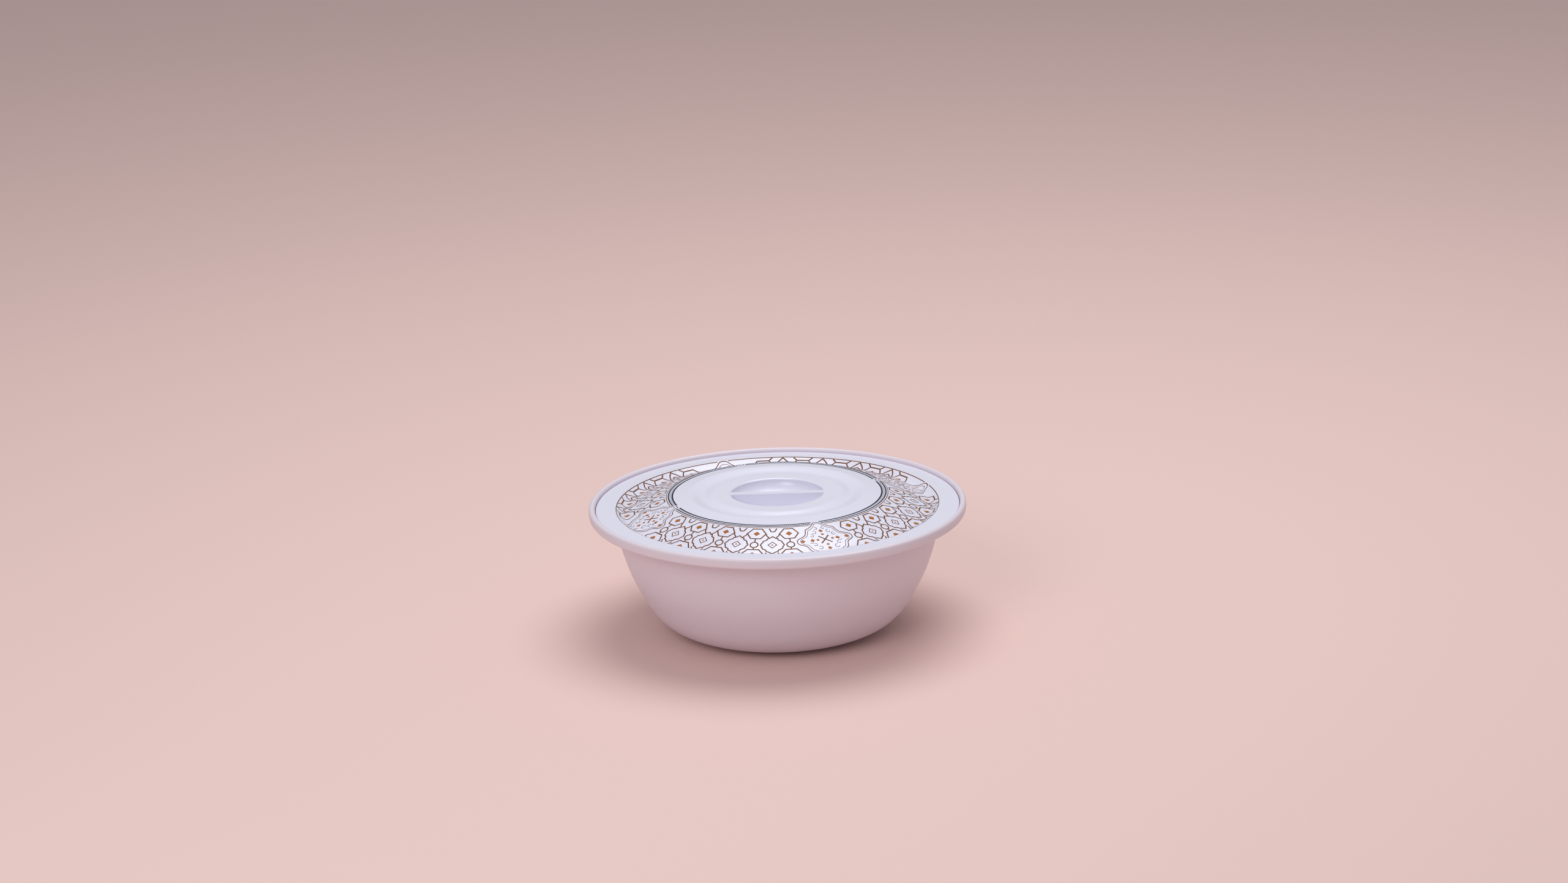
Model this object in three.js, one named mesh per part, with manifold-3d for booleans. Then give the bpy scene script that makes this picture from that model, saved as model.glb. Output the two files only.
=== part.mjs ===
// A deep serving bowl with a drop-in lid, both moulded in white melamine.
// Millimetres, +Z up. The bowl stands on z = 0 and its axis is the Z axis.
import * as THREE from 'three';
import { mergeVertices } from 'three/addons/utils/BufferGeometryUtils.js';
import Module from 'manifold-3d';

const wasm = await Module();
wasm.setup();

// Driving dimensions
const rimRadius = 120;
const rimHeight = 81;
const beadWidth = 3.9;
const beadRise = 2;
const flangeDepth = 5.5;
const wall = 3;
const footRadius = 53;
const footWidth = 6;
const footRecess = 1.2;
const lidRadius = 115.7;
const lidThickness = 2.6;
const lidDrop = 0.3;
const landHeight = 8;
const landRadius = 42;
const gripRadius = 30.2;
const gripDepth = 14;
const barWidth = 4.6;
const barBelowLand = 0.2;
const printInner = 69.7;
const printOuter = 102.9;
const printThickness = 0.35;
const gap = 0.3;
const segments = 60;

// Heights worked out from them
const ledgeHeight = rimHeight - lidDrop - lidThickness - gap;
const landTop = rimHeight + landHeight;
const bowlFloor = footRecess + wall + 0.2;

const point = (radius, height) => new THREE.Vector2(radius, height);

// A smooth run of points through a short list of [radius, height] pairs.
function smooth(pairs, count) {
  return new THREE.SplineCurve(pairs.map(([radius, height]) => point(radius, height))).getPoints(count);
}

// A quarter of an ellipse from the axis at the bottom to the given radius at the top.
function hollow(radius, depth, top, count) {
  return Array.from({ length: count + 1 }, (_, step) => {
    const angle = (Math.PI / 2) * (step / count);
    return point(radius * Math.sin(angle), top - depth * Math.cos(angle));
  });
}

// Turns a profile about Z. A profile runs so that its faces point outwards.
function turned(profile) {
  return new THREE.LatheGeometry(profile, segments).rotateX(Math.PI / 2);
}

function solidFrom(geometry) {
  const bare = geometry.clone();
  bare.deleteAttribute('normal');
  bare.deleteAttribute('uv');
  const merged = mergeVertices(bare, 1e-4);
  const vertProperties = new Float32Array(merged.attributes.position.array);
  const triVerts = new Uint32Array(merged.index.array);
  return new wasm.Manifold(new wasm.Mesh({ numProp: 3, vertProperties, triVerts }));
}

function geometryFrom(solid) {
  const mesh = solid.getMesh();
  const geometry = new THREE.BufferGeometry();
  geometry.setAttribute('position', new THREE.BufferAttribute(mesh.vertProperties, 3));
  geometry.setIndex(new THREE.BufferAttribute(mesh.triVerts, 1));
  geometry.computeVertexNormals();
  return geometry;
}

// The outside of the bowl from the foot up to the flange.
const wallOutside = [
  [footRadius + 2, 0.9],
  [65, 3.6],
  [73, 7.6],
  [79, 13],
  [83.8, 19.5],
  [89.2, 29],
  [94.3, 39.5],
  [98.6, 51.7],
  [101.5, 63],
  [103.2, rimHeight - flangeDepth],
];

// The inside follows it, one wall thickness in.
const wallInside = [
  [footRadius - 1, bowlFloor],
  [63, 6.6],
  [70.6, 10.4],
  [76.4, 15.6],
  [80.9, 21.6],
  [86.2, 30.5],
  [91.3, 40.5],
  [95.5, 52.2],
  [98.4, 63.4],
  [100.2, ledgeHeight - 3.6],
];

function bowlGeometry() {
  const beadInner = rimRadius - beadWidth;
  const under = rimHeight - flangeDepth;
  const profile = [
    point(0, footRecess),
    point(footRadius - footWidth - 1.2, footRecess),
    point(footRadius - footWidth, 0),
    point(footRadius, 0),
    ...smooth(wallOutside, 14),
    point(rimRadius - 2.2, under + 0.2),
    point(rimRadius - 0.5, under + 1.4),
    point(rimRadius, rimHeight - 1),
    point(rimRadius - 0.3, rimHeight + beadRise - 1),
    point(rimRadius - 1.1, rimHeight + beadRise - 0.2),
    point(rimRadius - 2.2, rimHeight + beadRise),
    point(beadInner + 0.6, rimHeight + beadRise - 0.6),
    point(beadInner, rimHeight + beadRise - 2),
    point(beadInner, ledgeHeight),
    point(105.8, ledgeHeight),
    point(102.6, ledgeHeight - 1.7),
    ...smooth(wallInside, 14).reverse(),
    point(0, bowlFloor),
  ];
  return turned(profile);
}

// The lid's upper surface between the two dark lines and the plain flat band.
const printedSlope = smooth([
  [printInner, rimHeight + 6.8],
  [78, rimHeight + 3.85],
  [87, rimHeight + 0.6],
  [94, rimHeight - 2.2],
  [97.3, rimHeight - 3],
  [100, rimHeight - 1.9],
  [printOuter, rimHeight + 0.15],
], 10);

// The printed slope moved down by a distance, and drawn in by a margin at its two edges.
function slopeMoved(down, margin) {
  const last = printedSlope.length - 1;
  return printedSlope.map((place, index) => {
    const inwards = index === 0 ? margin : index === last ? -margin : 0;
    return point(place.x + inwards, place.y - down);
  });
}

function lidGeometry() {
  const bandTop = rimHeight - lidDrop;
  const bandUnder = bandTop - lidThickness;
  const upper = [
    ...hollow(gripRadius - 0.6, gripDepth - 0.6, landTop - 0.6, 8),
    point(gripRadius + 0.6, landTop),
    point(landRadius - 1, landTop),
    point(landRadius + 1.2, landTop - 0.5),
    point(46, landTop - 1.5),
    point(49, landTop - 1.5),
    point(53.6, landTop - 0.1),
    point(56, landTop + 0.3),
    point(58.4, landTop),
    point(65, landTop - 0.7),
    point(66.7, landTop - 1.1),
    point(printInner - 0.1, rimHeight + 6.85),
    ...slopeMoved(printThickness + gap + 0.1, 0),
    point(printOuter + 0.1, rimHeight + 0.15),
    point(105, rimHeight + 0.1),
    point(lidRadius - 0.9, bandTop),
    point(lidRadius, bandTop - 0.8),
  ];
  const lower = [
    point(lidRadius, bandUnder + 0.4),
    point(lidRadius - 0.4, bandUnder),
    point(105.6, bandUnder),
    point(102.2, bandUnder - 0.9),
    point(97.4, rimHeight - 5.8),
    point(93.4, rimHeight - 5),
    point(69, rimHeight + 4.1),
    point(64, landTop - 3.4),
    point(56, landTop - 2.6),
    point(48, landTop - 4.2),
    point(landRadius, landTop - 3),
    point(gripRadius + 4.6, landTop - 2.8),
    ...hollow(gripRadius + 2.4, gripDepth - 2.6, landTop - 5.2, 8).reverse(),
  ];
  const shell = solidFrom(turned([...upper, ...lower].reverse()));
  return geometryFrom(shell.add(barSolid()));
}

// The straight bar across the grip recess. It ends inside the recess wall and floor.
function barSolid() {
  const sink = 1;
  const height = gripDepth + 2 * sink;
  const box = new THREE.BoxGeometry(2 * (gripRadius + sink), barWidth, height);
  box.translate(0, 0, landTop - barBelowLand - height / 2);
  const space = turned([
    ...hollow(gripRadius + sink, gripDepth + sink, landTop, 8),
    point(0, landTop),
  ]);
  return solidFrom(box).intersect(solidFrom(space));
}

function printGeometry() {
  const top = slopeMoved(0, gap);
  const under = slopeMoved(printThickness, gap).reverse();
  return turned([...top, ...under, top[0].clone()].reverse());
}

function material(color, roughness) {
  return new THREE.MeshStandardMaterial({ color, roughness, metalness: 0 });
}

function part(name, geometry, finish) {
  const mesh = new THREE.Mesh(geometry, finish);
  mesh.name = name;
  return mesh;
}

const lid = new THREE.Group();
lid.add(part('lid', lidGeometry(), material('#e6e4ee', 0.2)));
lid.add(part('printed_ring', printGeometry(), material('#d9dde6', 0.2)));

const group = new THREE.Group();
group.add(part('bowl', bowlGeometry(), material('#e4dade', 0.45)));
group.add(lid);

export default group;
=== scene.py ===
import bpy
import numpy as np
from mathutils import Matrix, Vector


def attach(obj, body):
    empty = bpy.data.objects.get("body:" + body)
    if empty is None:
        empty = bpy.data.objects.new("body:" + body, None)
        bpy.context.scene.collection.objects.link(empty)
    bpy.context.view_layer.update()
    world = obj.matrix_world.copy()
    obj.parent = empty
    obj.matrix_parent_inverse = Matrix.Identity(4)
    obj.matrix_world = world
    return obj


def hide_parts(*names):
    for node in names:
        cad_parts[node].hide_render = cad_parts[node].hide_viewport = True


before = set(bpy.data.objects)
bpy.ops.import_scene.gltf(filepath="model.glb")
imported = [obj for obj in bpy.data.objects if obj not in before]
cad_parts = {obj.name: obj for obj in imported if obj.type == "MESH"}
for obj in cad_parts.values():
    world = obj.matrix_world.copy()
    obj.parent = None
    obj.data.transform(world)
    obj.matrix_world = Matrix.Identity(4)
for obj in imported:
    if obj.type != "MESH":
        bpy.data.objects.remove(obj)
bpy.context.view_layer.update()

MM = 0.001

# Sizes in millimetres. The bowl stands on z = 0 and its axis is the Z axis.
RIM_HEIGHT = 81.0
LAND = RIM_HEIGHT + 8.0
GRIP = 30.2
GRIP_DEPTH = 14.0
GRIP_ROUNDING = 0.8
TURN_STEPS = 240
CURVE_STEPS = 6

# The bar across the grip: half widths from its crown to its foot, and how far it sinks in.
BAR_HALF_WIDTHS = (2.0, 2.3, 2.9)
BAR_EDGE_DROP = 0.35
BAR_BELOW_LAND = 0.2
BAR_SINK = 0.6
BAR_END_SINK = 0.3
BAR_STEPS = 61

# The printed border: cells round the lid, and the four places where a medallion stands.
CELLS = 24
CELL = 360.0 / CELLS
QUARTER = 90.0
MEDALLIONS = (20.0, 110.0, 200.0, 290.0)
MEDALLION_REACH = 8.0
MEDALLION_RADIUS = 85.0
PROUD = 0.05
RIBBON_STEP = 1.2
MITRE_LIMIT = 0.55
LINE = 0.85
FINE_LINE = 0.35
INNER_ROW = 76.5
MIDDLE_ROW = 87.0
OUTER_ROW = 95.8

# The photograph's camera: a long lens, aimed so that the rim's centre falls on this pixel.
PHOTO_WIDTH, PHOTO_HEIGHT = 2560, 1441
FOCAL_PIXELS = 7500.0
RIM_CENTRE_PIXEL = (1266.5, 821.8)
DISTANCE = 2921.4
ELEVATION = np.radians(17.38)
ROLL = np.radians(-1.54)
SENSOR = 36.0


# Colours and materials

def linear(hex_colour):
    """An sRGB hex colour as linear red, green, blue and alpha."""
    parts = [int(hex_colour[i:i + 2], 16) / 255 for i in (1, 3, 5)]
    return [c / 12.92 if c <= 0.04045 else ((c + 0.055) / 1.055) ** 2.4 for c in parts] + [1.0]


def add_node(tree, kind, settings=(), links=()):
    """Adds a node, sets the inputs or properties given, and links outputs to its inputs."""
    node = tree.nodes.new(kind)
    for name, value in dict(settings).items():
        if name in node.inputs:
            node.inputs[name].default_value = value
        else:
            setattr(node, name, value)
    for name, output in dict(links).items():
        tree.links.new(output, node.inputs[name])
    return node


def moulded(name, colour, roughness, reflection=0.5):
    """A smooth pressed surface of one colour. The mould's polish varies over about 17 mm, so
    the gloss changes by 0.04 and the surface waves by 0.02 mm, which softens reflections."""
    material = bpy.data.materials.new(name)
    material.use_nodes = True
    tree = material.node_tree
    shader = tree.nodes["Principled BSDF"]
    place = add_node(tree, "ShaderNodeTexCoord")
    wave = add_node(tree, "ShaderNodeTexNoise", {"Scale": 60.0, "Detail": 2.0},
                    {"Vector": place.outputs["Object"]})
    rough = add_node(tree, "ShaderNodeMapRange",
                     {"To Min": roughness - 0.04, "To Max": roughness + 0.04},
                     {"Value": wave.outputs["Fac"]})
    bump = add_node(tree, "ShaderNodeBump", {"Strength": 0.3, "Distance": 0.02 * MM},
                    {"Height": wave.outputs["Fac"]})
    shader.inputs["Base Color"].default_value = linear(colour)
    shader.inputs["IOR"].default_value = 1.57
    shader.inputs["Specular IOR Level"].default_value = reflection
    tree.links.new(rough.outputs["Result"], shader.inputs["Roughness"])
    tree.links.new(bump.outputs["Normal"], shader.inputs["Normal"])
    return material


# Surfaces

def smooth_line(points, steps=CURVE_STEPS):
    """A Catmull-Rom curve through the points: each stretch is a cubic that leaves and meets
    its end points along the chord of their neighbours."""
    p = np.array(points, float)
    p = np.vstack([2 * p[0] - p[1], p, 2 * p[-1] - p[-2]])
    t = np.linspace(0, 1, steps, endpoint=False)[:, None]
    stretches = []
    for a, b, c, d in zip(p[:-3], p[1:-2], p[2:-1], p[3:]):
        stretches.append(0.5 * (2 * b + (c - a) * t + (2 * a - 5 * b + 4 * c - d) * t ** 2
                                + (3 * b - a - 3 * c + d) * t ** 3))
    return np.vstack(stretches + [p[-2][None]])


def hollow(radius, depth, top, steps=24):
    """Radius and height of an ellipse's quarter, from the axis up to its rim:
    radius times sine, and top less depth times cosine."""
    angle = np.linspace(0, np.pi / 2, steps)
    return np.stack([radius * np.sin(angle), top - depth * np.cos(angle)], -1)


def mesh_object(name, points, faces, material, smooth=True):
    """A mesh of these points, in millimetres, and faces, as an object at the origin."""
    mesh = bpy.data.meshes.new(name)
    mesh.from_pydata((np.asarray(points) * MM).tolist(), [], [tuple(face) for face in faces])
    mesh.polygons.foreach_set("use_smooth", np.full(len(mesh.polygons), smooth))
    mesh.materials.append(material)
    mesh.update()
    piece = bpy.data.objects.new(name, mesh)
    bpy.context.scene.collection.objects.link(piece)
    return piece


def turned(section):
    """Points and faces of a section turned about Z: x = r cos a, y = r sin a, z = height.
    The section starts and ends on the axis and runs outwards along the underside."""
    rings = section[1:-1]
    angle = np.linspace(0, 2 * np.pi, TURN_STEPS, endpoint=False)
    walls = np.stack([rings[:, :1] * np.cos(angle), rings[:, :1] * np.sin(angle),
                      np.repeat(rings[:, 1:], TURN_STEPS, axis=1)], -1).reshape(-1, 3)
    points = np.vstack([walls, [[0, 0, section[0, 1]], [0, 0, section[-1, 1]]]])
    spoke = np.arange(TURN_STEPS)
    onward = (spoke + 1) % TURN_STEPS
    start = np.arange(len(rings) - 1)[:, None] * TURN_STEPS
    here = (start + spoke).ravel()
    beside = (start + onward).ravel()
    sides = np.stack([here, beside, beside + TURN_STEPS, here + TURN_STEPS], -1)
    last_ring = (len(rings) - 1) * TURN_STEPS
    below = np.stack([np.full(TURN_STEPS, len(walls)), onward, spoke], -1)
    above = np.stack([np.full(TURN_STEPS, len(walls) + 1), last_ring + spoke, last_ring + onward], -1)
    return points, sides.tolist() + below.tolist() + above.tolist()


def grip_bar():
    """A bar along X with a flat crown and leaning sides. Its foot follows the recess's floor:
    z = land less depth times the root of 1 - (x / radius) squared, and a little deeper."""
    crown, shoulder, foot = BAR_HALF_WIDTHS
    x = np.linspace(-1, 1, BAR_STEPS)[:, None] * (GRIP + BAR_END_SINK)
    reach = GRIP + BAR_END_SINK + 0.05
    floor = LAND - GRIP_DEPTH * np.sqrt(1 - (x / reach) ** 2) - BAR_SINK
    top = np.full_like(x, LAND - BAR_BELOW_LAND)
    edge = top - BAR_EDGE_DROP
    y = np.array([-foot, -shoulder, -crown, crown, shoulder, foot])
    z = np.hstack([floor, edge, top, top, edge, floor])
    points = np.stack(np.broadcast_arrays(x, y, z), -1).reshape(-1, 3)
    corners = len(y)
    start = np.arange(BAR_STEPS - 1)[:, None] * corners
    here = (start + np.arange(corners)).ravel()
    beside = (start + (np.arange(corners) + 1) % corners).ravel()
    sides = np.stack([here, here + corners, beside + corners, beside], -1).tolist()
    near_end = list(range(corners))
    far_end = [corner + (BAR_STEPS - 1) * corners for corner in reversed(near_end)]
    return points, sides + [near_end, far_end]


# The bowl's section, from the middle of the base out, up the wall, over the bead and back in.

FOOT_SECTION = [(0, 1.2), (30, 1.2), (45.6, 1.2), (46.2, 0.9), (46.8, 0.1), (47.4, 0), (52.4, 0)]
WALL_OUTSIDE = [(53, 0), (55.5, 0.9), (65, 3.6), (73, 7.6), (79, 13), (83.8, 19.5), (89.2, 29),
                (94.3, 39.5), (98.6, 51.7), (101.5, 63), (103.2, 74.6), (104.2, 75.6)]
RIM_BEAD = [(104.8, 75.7), (112, 75.7), (117.8, 75.8), (119.5, 76.8), (120, 79), (120, 81),
            (119.5, 82.2), (118.3, 82.95), (117.2, 82.8), (116.4, 82.1), (116.1, 81), (116.1, 78.2)]
LEDGE_AND_INSIDE = [(115.9, 77.8), (105.8, 77.8), (103.6, 77.2), (101.2, 75), (100.2, 71.5),
                    (98.4, 63.4), (95.5, 52.2), (91.3, 40.5), (86.2, 30.5), (80.9, 21.6),
                    (76.4, 15.6), (70.6, 10.4), (63, 6.6), (52, 4.5), (40, 4.4)]
BOWL_SECTION = np.vstack([FOOT_SECTION, smooth_line(WALL_OUTSIDE), smooth_line(RIM_BEAD),
                          smooth_line(LEDGE_AND_INSIDE), [(0, 4.4)]])

# The lid's upper line: the grip, the land and its two soft rings, the printed slope with its
# valley and outer rise, and the plain flat band out to the edge.

LAND_AND_RINGS = [(29.55, 88.45), (30.1, 88.85), (31, 89), (36, 89), (41, 88.95), (43, 88.5),
                  (46, 87.6), (49, 87.6), (53.4, 88.9), (56, 89.3), (58.6, 89), (64.8, 88.2),
                  (66.6, 87.95), (69.5, 87.85)]
PRINTED_SLOPE = [(69.7, 87.8), (78, 84.85), (87, 81.6), (94, 78.8), (97.3, 78), (100, 79.1),
                 (102.9, 81.1)]
FLAT_BAND = [(103.4, 81.2), (105, 81.1), (112, 80.85), (114.9, 80.7), (115.6, 80.2), (115.7, 79.6)]
LID_TOP = np.vstack([hollow(GRIP - GRIP_ROUNDING, GRIP_DEPTH - GRIP_ROUNDING, LAND - GRIP_ROUNDING),
                     smooth_line(LAND_AND_RINGS), smooth_line(PRINTED_SLOPE, 8),
                     smooth_line(FLAT_BAND)])

# Its underside, from the edge back in to the outside of the grip.

UNDERSIDE = [(115.7, 78.6), (115.2, 78.1), (105.6, 78.1), (102.2, 77.2), (97.4, 75.2), (93.4, 76),
             (69, 85.1), (64, 85.6), (56, 86.4), (48, 84.8), (42, 86), (34.8, 86.2), (32.8, 84.4)]
GRIP_UNDER_RADIUS = GRIP + 2.4
GRIP_UNDER_DEPTH = GRIP_DEPTH - 2.6
GRIP_UNDER_TOP = LAND - 5.2
LID_SECTION = np.vstack([LID_TOP, smooth_line(UNDERSIDE),
                         hollow(GRIP_UNDER_RADIUS, GRIP_UNDER_DEPTH, GRIP_UNDER_TOP)[::-1]])[::-1]
LID_OUTSIDE_GRIP = LID_TOP[LID_TOP[:, 0] > GRIP + GRIP_ROUNDING]


# The print. A plan is a list of (degrees round the lid, radius in millimetres).

class Print:
    """Printed shapes of one ink. Each is a closed skin that follows the lid's surface and
    reaches PROUD millimetres above it and below it."""

    def __init__(self):
        self.points = []
        self.faces = []

    def place(self, plan, lift):
        """Plan points on the lid: x = r cos a, y = r sin a, z = the lid's height at r, lifted."""
        angle, radius = np.radians(plan[:, 0]), plan[:, 1]
        height = np.interp(radius, LID_OUTSIDE_GRIP[:, 0], LID_OUTSIDE_GRIP[:, 1])
        return np.stack([radius * np.cos(angle), radius * np.sin(angle), height + lift], -1)

    def line(self, plan, width=LINE, closed=False):
        """A ribbon along a plan. Each stretch is cut into steps, and each point is moved to
        both sides along the mean of its two stretches' normals, lengthened as a mitre."""
        plan = np.array(plan, float)
        if closed:
            plan = np.vstack([plan, plan[:1]])
        run = [plan[:1]]
        for a, b in zip(plan[:-1], plan[1:]):
            length = np.hypot(np.radians(b[0] - a[0]) * (a[1] + b[1]) / 2, b[1] - a[1])
            steps = max(1, int(np.ceil(length / RIBBON_STEP)))
            run.append(a + (b - a) * (np.arange(steps) + 1)[:, None] / steps)
        run = np.vstack(run)
        if closed:
            run = run[:-1]
        flat = np.stack([np.radians(run[:, 0]) * run[:, 1].mean(), run[:, 1]], -1)
        before = np.roll(flat, 1, axis=0)
        after = np.roll(flat, -1, axis=0)
        if not closed:
            before[0] = 2 * flat[0] - flat[1]
            after[-1] = 2 * flat[-1] - flat[-2]
        arriving = (flat - before) / np.linalg.norm(flat - before, axis=1, keepdims=True)
        leaving = (after - flat) / np.linalg.norm(after - flat, axis=1, keepdims=True)
        normal = np.stack([-(arriving + leaving)[:, 1], (arriving + leaving)[:, 0]], -1)
        size = np.linalg.norm(normal, axis=1, keepdims=True)
        offset = normal / np.maximum(size, 1e-6) / np.clip(size / 2, MITRE_LIMIT, 1) * width / 2
        turn = np.stack([np.degrees(offset[:, 0] / run[:, 1]), offset[:, 1]], -1)
        corners = np.stack([self.place(run - turn, PROUD), self.place(run + turn, PROUD),
                            self.place(run + turn, -PROUD), self.place(run - turn, -PROUD)], 1)
        start, count = len(self.points), len(run)
        here = np.arange(count if closed else count - 1)[:, None] * 4
        onward = (here + 4) % (4 * count)
        side = np.arange(4)
        beside = (side + 1) % 4
        walls = np.stack([here + side, here + beside, onward + beside, onward + side], -1)
        self.points.extend(corners.reshape(-1, 3).tolist())
        self.faces.extend((start + walls.reshape(-1, 4)).tolist())
        if not closed:
            last = start + 4 * (count - 1)
            self.faces.append([start + 3, start + 2, start + 1, start])
            self.faces.append([last, last + 1, last + 2, last + 3])

    def patch(self, plan):
        """A filled shape from its corners: the same outline above and below the surface."""
        plan = np.array(plan, float)
        start, count = len(self.points), len(plan)
        corner = np.arange(count)
        onward = (corner + 1) % count
        walls = np.stack([corner, onward, count + onward, count + corner], -1)
        self.points.extend(self.place(plan, PROUD).tolist() + self.place(plan, -PROUD).tolist())
        self.faces.append((start + corner[::-1]).tolist())
        self.faces.append((start + count + corner).tolist())
        self.faces.extend((start + walls).tolist())

    def piece(self, name, ink):
        return mesh_object(name, self.points, self.faces, ink, smooth=False)


def circle(azimuth, radius, size, steps=20):
    """A circle's plan: the angle moves by size times cosine, and the radius by size times sine."""
    angle = np.linspace(0, 2 * np.pi, steps, endpoint=False)
    return np.stack([azimuth + np.degrees(size * np.cos(angle) / radius),
                     radius + size * np.sin(angle)], -1)


def diamond(azimuth, radius, half):
    """A square stood on its corner, half a diagonal each way."""
    wide = np.degrees(half / radius)
    return [(azimuth + wide, radius), (azimuth, radius + half),
            (azimuth - wide, radius), (azimuth, radius - half)]


def around(half, azimuth, radius=0.0):
    """A whole outline from its right half, moved to its place and mirrored."""
    right = [(azimuth + a, radius + r) for a, r in half]
    left = [(azimuth - a, radius + r) for a, r in half[-2:0:-1]]
    return right + left


def arc_of(start, margin, radius, steps=80):
    """An arc from one medallion to the next, ending a margin in degrees short of each."""
    azimuth = np.linspace(start + margin, start + QUARTER - margin, steps)
    return np.stack([azimuth, np.full(steps, radius)], -1)


# Right halves of the motifs: degrees from the cell's middle line, and millimetres. The octagon
# and the star are measured from their row, and the others from the lid's axis.

OCTAGON = [(0, 4.6), (2.2, 4.6), (4.4, 0), (2.2, -4.6), (0, -4.6)]
STAR = [(0, 7.9), (1.5, 6.2), (2.2, 6.0), (2.5, 4.6), (3.9, 3.4), (4.2, 2.0), (4.9, 0),
        (4.2, -2.0), (3.9, -3.4), (2.5, -4.6), (2.2, -6.0), (1.5, -6.2), (0, -7.9)]
BESIDE_STAR = ([(0, 74.6), (0.9, 74.2), (1.6, 72.2), (1.9, 71.4)],
               [(1.5, 80.7), (2.1, 79.3), (2.7, 78.4), (3.1, 76.5)],
               [(2.6, 94.0), (1.5, 97.0), (0, 98.4)],
               [(5.3, 100.4), (3.9, 102.4)],
               [(3.1, 95.8), (1.8, 99.4), (0, 102.2)])
CARTOUCHE = [(0, 67.3), (1.4, 67.7), (2.9, 70.5), (5.2, 73.2), (6.9, 74.4), (7.4, 77.3),
             (8.5, 80.3), (11.4, 83.0), (12.1, 85.4), (11.4, 87.8), (8.7, 90), (7.5, 94),
             (5.6, 96.2), (3.2, 99.2), (1.5, 102.0), (0, 102.5)]
INNER_CARTOUCHE_SCALE = 0.88
CURLS = ((3.4, 92.0, 1.3), (5.0, 89.0, 1.1), (6.2, 86.6, 1.0), (3.4, 77.6, 1.3),
         (5.0, 80.6, 1.1), (1.8, 96.4, 1.0), (1.8, 74.0, 1.0))

# The rope border: radius, width and end margin of its two lines, and its slanting strokes.

ROPE_LINES = ((66.6, 1.0, 2.4), (69.2, 0.8, 3.0))
ROPE_STROKE = ((-0.1, 68.9), (-0.28, 68.9), (0.2, 67.0), (0.38, 67.0))
ROPE_STEP = 1.0
ROPE_MARGIN = 3.4
EDGE_LINES = ((70.5, 4.2), (102.6, 2.0))
EDGE_LINE_WIDTH = 0.5


def near_medallion(azimuth, margin):
    return min(abs((azimuth - place + 180) % 360 - 180) for place in MEDALLIONS) < margin


def draw_octagon_column(azimuth, lines, fills):
    """Two octagons with filled diamonds, joined by short stems to a circle between them."""
    for radius in (INNER_ROW, OUTER_ROW):
        lines.line(around(OCTAGON, azimuth, radius), closed=True)
        fills.patch(diamond(azimuth, radius, 2.1))
    lines.line(circle(azimuth, MIDDLE_ROW, 2.4), closed=True)
    lines.line([(azimuth, 81.3), (azimuth, 84.5)])
    lines.line([(azimuth, 89.5), (azimuth, 91.0)])


def draw_star_column(azimuth, lines, fills):
    """A stepped star round a small diamond, with the lines that lead to its neighbours."""
    lines.line(around(STAR, azimuth, MIDDLE_ROW), closed=True)
    lines.line(diamond(azimuth, MIDDLE_ROW, 2.7), 0.55, closed=True)
    fills.patch(diamond(azimuth, MIDDLE_ROW, 0.7))
    for side in (-1, 1):
        for half in BESIDE_STAR:
            lines.line([(azimuth + side * a, r) for a, r in half])


def draw_rope_border(start, lines, rope):
    """A quarter of the rope border and of the thin lines that close the print's two edges."""
    for radius, width, margin in ROPE_LINES:
        rope.line(arc_of(start, margin, radius), width)
    for radius, margin in EDGE_LINES:
        lines.line(arc_of(start, margin, radius), EDGE_LINE_WIDTH)
    for azimuth in np.arange(start + ROPE_MARGIN, start + QUARTER - ROPE_MARGIN, ROPE_STEP):
        rope.patch([(azimuth + a, r) for a, r in ROPE_STROKE])


def draw_medallion(azimuth, lines, fills):
    """A cartouche in two lines round a slanting cross, with squares on four sides and curls."""
    centre = MEDALLION_RADIUS
    scale = INNER_CARTOUCHE_SCALE
    inner = [(a * scale, centre + (r - centre) * scale) for a, r in CARTOUCHE]
    for half, width in ((CARTOUCHE, 0.6), (inner, FINE_LINE)):
        outline = around(half, azimuth) + [(azimuth, half[0][1])]
        lines.line(smooth_line(outline, 4)[:-1], width, closed=True)
    reach = 3.4
    turn = np.degrees(reach / centre)
    lines.line([(azimuth - turn, centre - reach), (azimuth + turn, centre + reach)], 0.9)
    lines.line([(azimuth + turn, centre - reach), (azimuth - turn, centre + reach)], 0.9)
    for distance, size in ((4.8, 1.1), (8.2, 1.5)):
        shift = np.degrees(distance / centre)
        for a, r in ((shift, 0), (-shift, 0), (0, distance), (0, -distance)):
            fills.patch(diamond(azimuth + a, centre + r, size))
    sweep = np.linspace(0.4, 5.2, 14)
    for side in (-1, 1):
        fills.patch(diamond(azimuth + side * 9.7, 85.3, 1.6))
        for a, r, size in CURLS:
            across = a + np.degrees(size * np.cos(sweep) / centre)
            lines.line(np.stack([azimuth + side * across, r + size * np.sin(sweep)], -1), FINE_LINE)


# Pieces

def finish_piece(piece, body, slot, *nodes):
    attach(piece, body)
    if nodes:
        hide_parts(*nodes)


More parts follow.
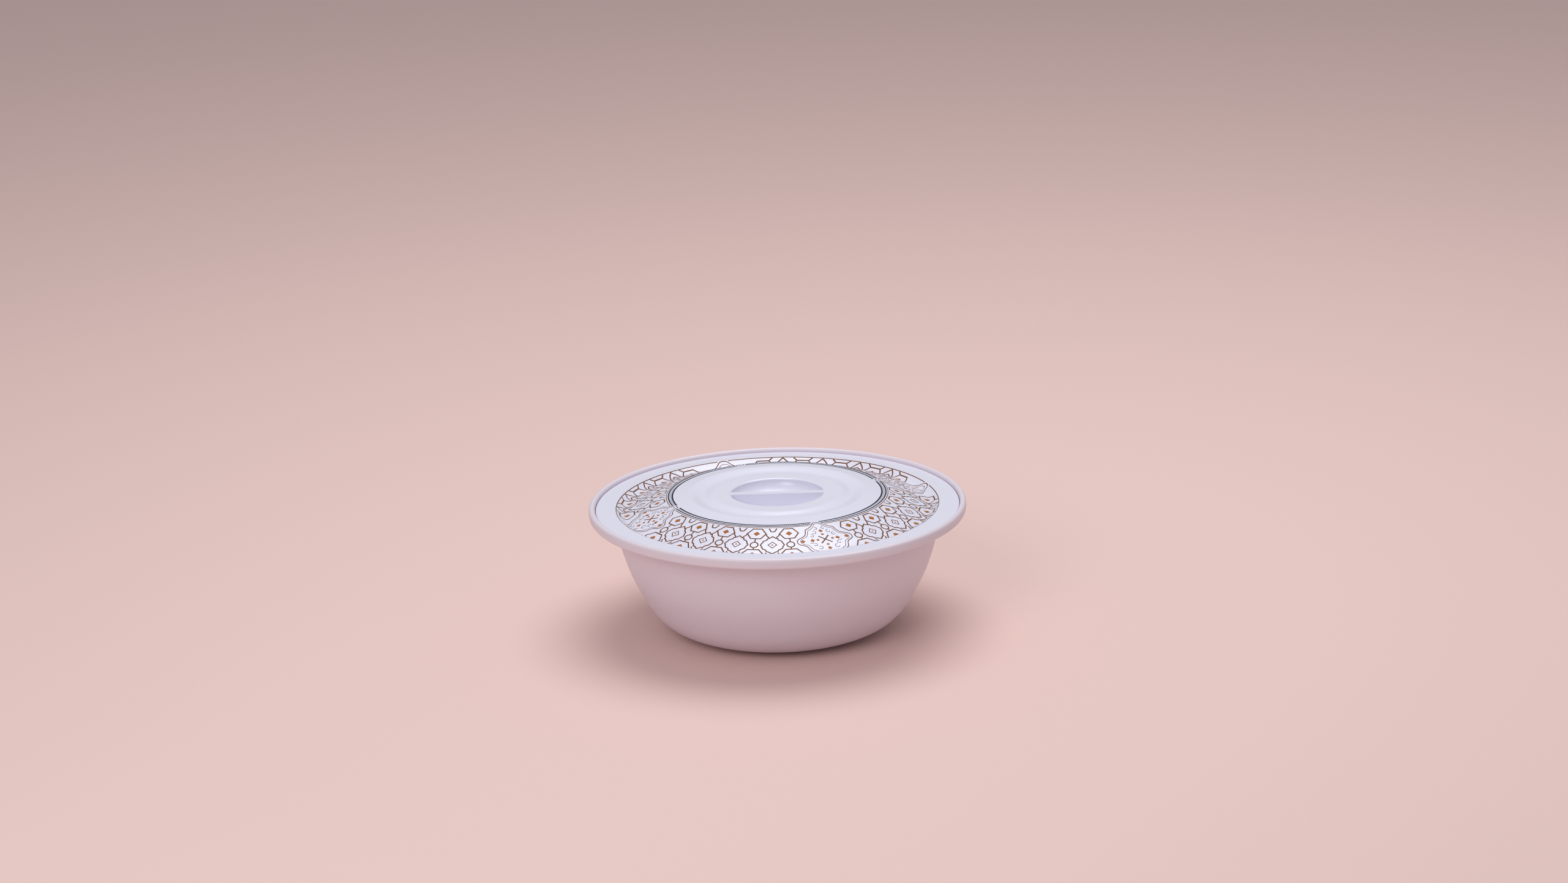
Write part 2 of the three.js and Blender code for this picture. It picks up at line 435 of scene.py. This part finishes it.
def add_print():
    """The inks lie under the clear glaze, so they reflect little and stay dark at a low angle."""
    lines, fills, rope = Print(), Print(), Print()
    for column in range(CELLS):
        azimuth = MEDALLIONS[0] + column * CELL
        if not near_medallion(azimuth, 1):
            draw_octagon_column(azimuth, lines, fills)
        if not near_medallion(azimuth + CELL / 2, MEDALLION_REACH):
            draw_star_column(azimuth + CELL / 2, lines, fills)
    for start in MEDALLIONS:
        draw_rope_border(start, lines, rope)
        draw_medallion(start, lines, fills)
    brown = moulded("brown decal ink under glaze", "#7A5238", 0.3, 0.12)
    ochre = moulded("ochre decal ink under glaze", "#A8662C", 0.3, 0.12)
    navy = moulded("navy decal ink under glaze", "#15172E", 0.3, 0.12)
    finish_piece(lines.piece("print_lines", brown), "lid", "printed_ring", "printed_ring")
    finish_piece(fills.piece("print_diamonds", ochre), "lid", "printed_ring")
    finish_piece(rope.piece("print_rope_border", navy), "lid", "printed_ring")


# The bowl comes satin from its mould, so its outside shows broad soft shading. The lid is
# polished, so its rings and its slope catch narrow highlights. Both are one white melamine:
# the bowl's colour is tinted pink as a painted pink bounce light, and the lid's colour is
# tinted lavender as painted cool light.
satin_white_painted_pink_bounce = moulded("satin moulded melamine with painted pink bounce", "#E0D5DF", 0.42)
gloss_white_painted_cool_light = moulded("polished moulded melamine with painted cool light", "#E2E1F0", 0.24)

finish_piece(mesh_object("bowl_body", *turned(BOWL_SECTION), satin_white_painted_pink_bounce), "bowl", "bowl", "bowl")
finish_piece(mesh_object("lid_body", *turned(LID_SECTION), gloss_white_painted_cool_light), "lid", "lid", "lid")
finish_piece(mesh_object("grip_bar", *grip_bar(), gloss_white_painted_cool_light, smooth=False), "lid", "lid")
add_print()


# Studio

def add_floor():
    """A flat square of matt blush paper, which gives the white bowl its pink underside along with the
    pink bounce painted into the bowl's colour.
    """
    half = 4.0 / MM
    corners = [(-half, -half, 0), (half, -half, 0), (half, half, 0), (-half, half, 0)]
    paper = moulded("matt blush paper", "#E9C9C2", 0.8)
    mesh_object("floor", corners, [(0, 1, 2, 3)], paper, smooth=False)


def add_softbox(name, place, size, power):
    """A round lamp in metres and watts, turned to the middle of the bowl."""
    data = bpy.data.lights.new(name, "AREA")
    data.shape = "DISK"
    data.size = size
    data.energy = power
    light = bpy.data.objects.new(name, data)
    light.location = place
    towards = Vector((0, 0, 0.05)) - Vector(place)
    light.rotation_euler = towards.to_track_quat("-Z", "Y").to_euler()
    bpy.context.scene.collection.objects.link(light)


def add_camera():
    """A pinhole camera at DISTANCE and ELEVATION from the rim's centre, turned so that the
    centre falls on its pixel, then rolled about its own line of sight."""
    sine, cosine = np.sin(ELEVATION), np.cos(ELEVATION)
    place = np.array([0, -DISTANCE * cosine, DISTANCE * sine])
    forward = np.array([0, cosine, -sine])
    up = np.array([0, sine, cosine])
    right = np.array([1.0, 0, 0])
    aim_x = (RIM_CENTRE_PIXEL[0] - PHOTO_WIDTH / 2) / FOCAL_PIXELS
    aim_y = -(RIM_CENTRE_PIXEL[1] - PHOTO_HEIGHT / 2) / FOCAL_PIXELS
    pitch = np.arctan2(aim_y, np.hypot(aim_x, 1))
    yaw = np.arctan2(aim_x, 1)
    level = forward * np.cos(pitch) - up * np.sin(pitch)
    upward = up * np.cos(pitch) + forward * np.sin(pitch)
    ahead = level * np.cos(yaw) - right * np.sin(yaw)
    across = right * np.cos(yaw) + level * np.sin(yaw)
    rolled_across = across * np.cos(ROLL) + upward * np.sin(ROLL)
    rolled_up = upward * np.cos(ROLL) - across * np.sin(ROLL)
    data = bpy.data.cameras.new("camera")
    data.sensor_width = SENSOR
    data.lens = FOCAL_PIXELS * SENSOR / PHOTO_WIDTH
    data.clip_end = 50
    camera = bpy.data.objects.new("camera", data)
    turn = Matrix((rolled_across, rolled_up, -ahead)).transposed().to_4x4()
    turn.translation = (place + np.array([0, 0, RIM_HEIGHT])) * MM
    camera.matrix_world = turn
    bpy.context.scene.collection.objects.link(camera)
    bpy.context.scene.camera = camera


def add_world():
    """An even, slightly cool surround that fills the shadows."""
    world = bpy.data.worlds.new("studio")
    world.use_nodes = True
    background = world.node_tree.nodes["Background"]
    background.inputs["Color"].default_value = linear("#F4F4FA")
    background.inputs["Strength"].default_value = 0.42
    bpy.context.scene.world = world


add_floor()
add_softbox("overhead softbox", (0.2, 0.3, 1.6), 1.4, 15.5)
add_softbox("front softbox", (-0.7, -1.4, 1.0), 1.0, 8.5)
add_world()
bpy.context.scene.view_settings.view_transform = "Standard"
add_camera()
